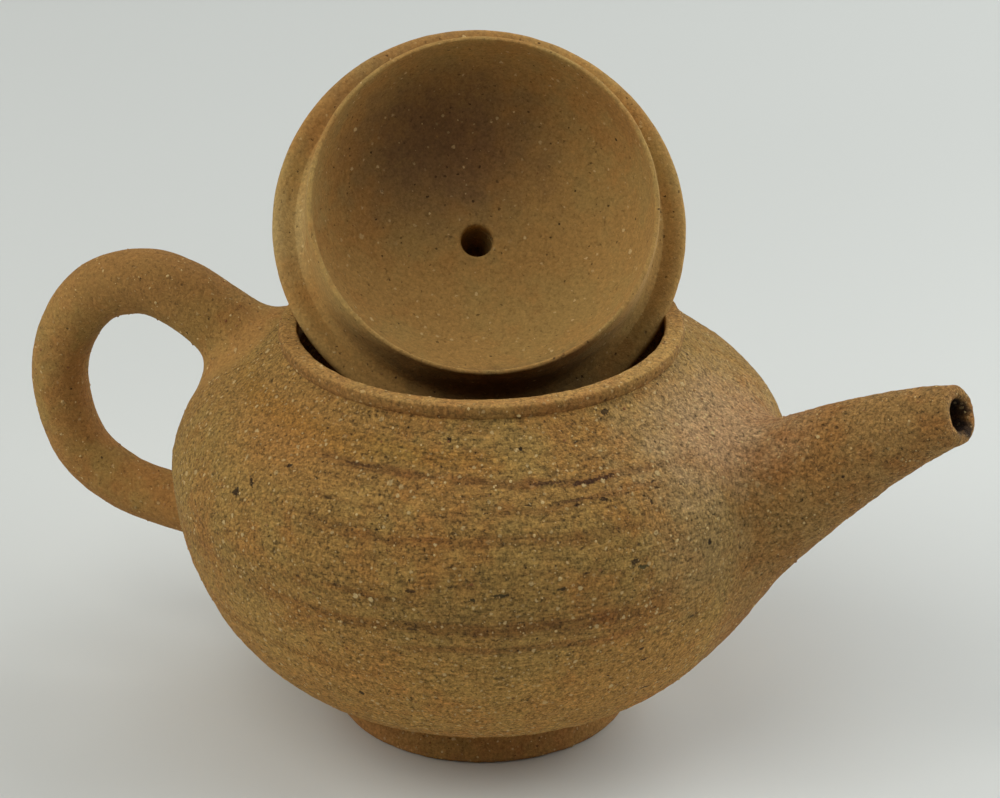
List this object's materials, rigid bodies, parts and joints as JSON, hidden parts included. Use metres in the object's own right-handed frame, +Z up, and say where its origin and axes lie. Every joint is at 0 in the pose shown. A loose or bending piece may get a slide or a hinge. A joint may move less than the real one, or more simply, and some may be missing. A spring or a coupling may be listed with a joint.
{
  "type": "clay teapot",
  "caption": "Small hand-thrown clay teapot with a side spout, a looped back handle and a flanged lid that stands on edge in the open mouth.",
  "frame": {"origin": "on the table under the pot, on the axis that the body is thrown about", "axes": "+Z up, +X towards the spout, -X towards the handle"},
  "size_m": [0.144, 0.09, 0.0982],
  "materials": {
    "sandy_clay": "unglazed, coarse and matt",
    "smooth_clay": "unglazed, smoothed and matt",
    "flushed_clay": "unglazed, flushed orange by the fire, matt"
  },
  "bodies": {
    "pot": {"pot_body": "sandy_clay", "foot_ring": "smooth_clay", "mouth_collar": "flushed_clay", "spout": "sandy_clay", "spout_strainer": "smooth_clay", "handle": "smooth_clay"},
    "lid": {"lid_plate": "smooth_clay", "lid_flange": "smooth_clay", "lid_knob": "smooth_clay"}
  },
  "joints": [
    {"name": "lid_lift", "type": "slide", "parent": "pot", "child": "lid", "axis": [0, 0, 1], "range_m": [0, 0.06]}
  ]
}
